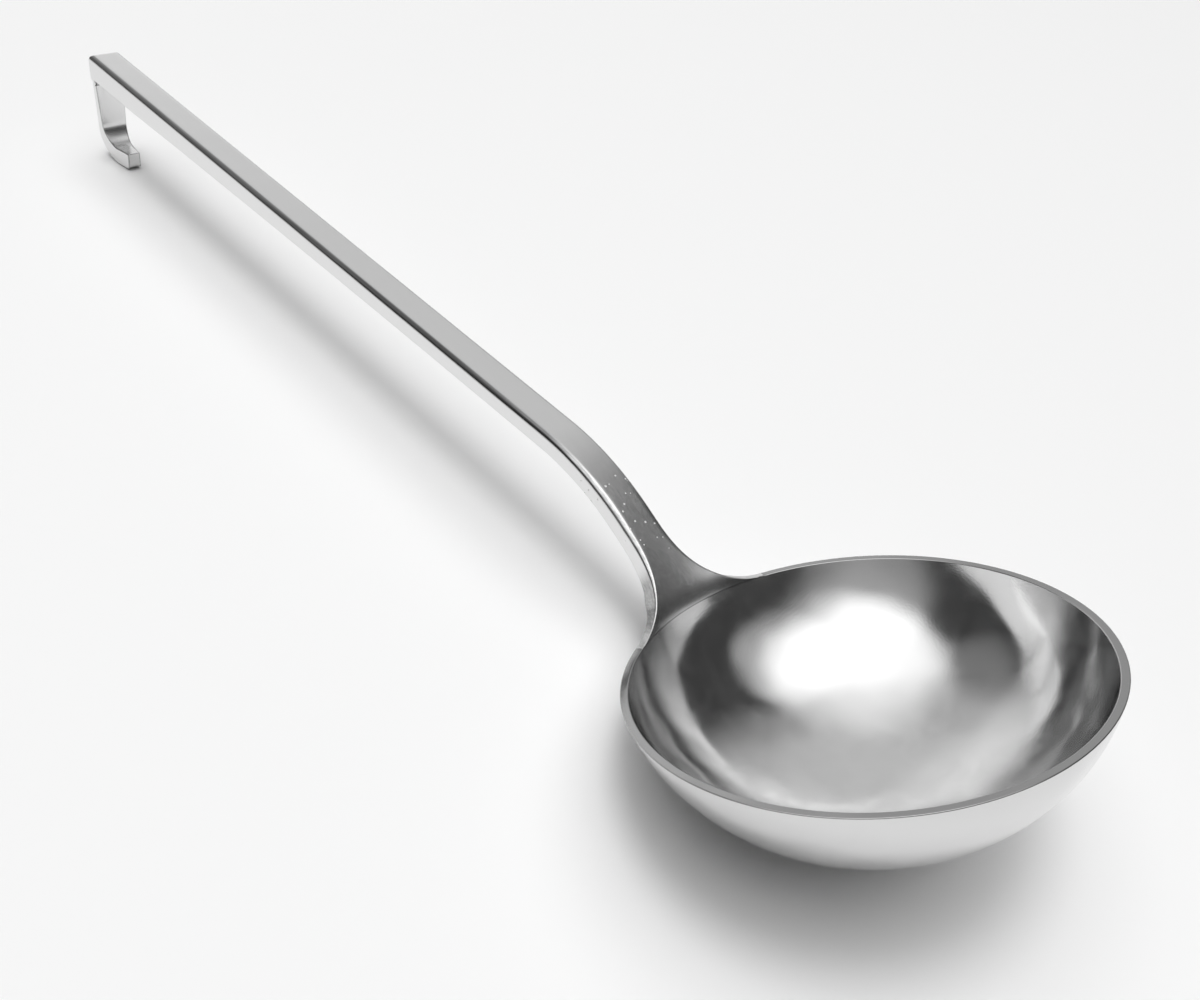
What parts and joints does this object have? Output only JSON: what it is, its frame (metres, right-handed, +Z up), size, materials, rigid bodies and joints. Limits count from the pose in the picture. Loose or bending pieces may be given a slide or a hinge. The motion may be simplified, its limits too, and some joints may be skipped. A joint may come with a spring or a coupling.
{
  "type": "soup ladle",
  "caption": "Stainless steel soup ladle: round deep-drawn bowl, flared forged root, tapered bar handle with rounded shoulders and a forged hook for hanging.",
  "frame": {"origin": "centre of the bounding box at its base, on the surface the ladle lies on, under the middle of the handle", "axes": "+Z up, +X along the handle from the bowl to the hook, the plane y = 0 is the plane of symmetry; the ladle lies at rest on the bowl's underside and on the hook"},
  "size_m": [0.3336, 0.087, 0.0513],
  "materials": {
    "drawn_steel": "stainless steel, satin inside, polished outside",
    "forged_steel": "stainless steel, satin top face, polished shoulders and sides",
    "ground_weld": "stainless steel weld metal, ground flush"
  },
  "bodies": {
    "root": {"bowl": "drawn_steel", "bowl_weld": "ground_weld", "neck": "forged_steel", "neck_weld": "ground_weld", "shank": "forged_steel", "hook_weld": "ground_weld", "hook": "forged_steel"}
  },
  "joints": []
}
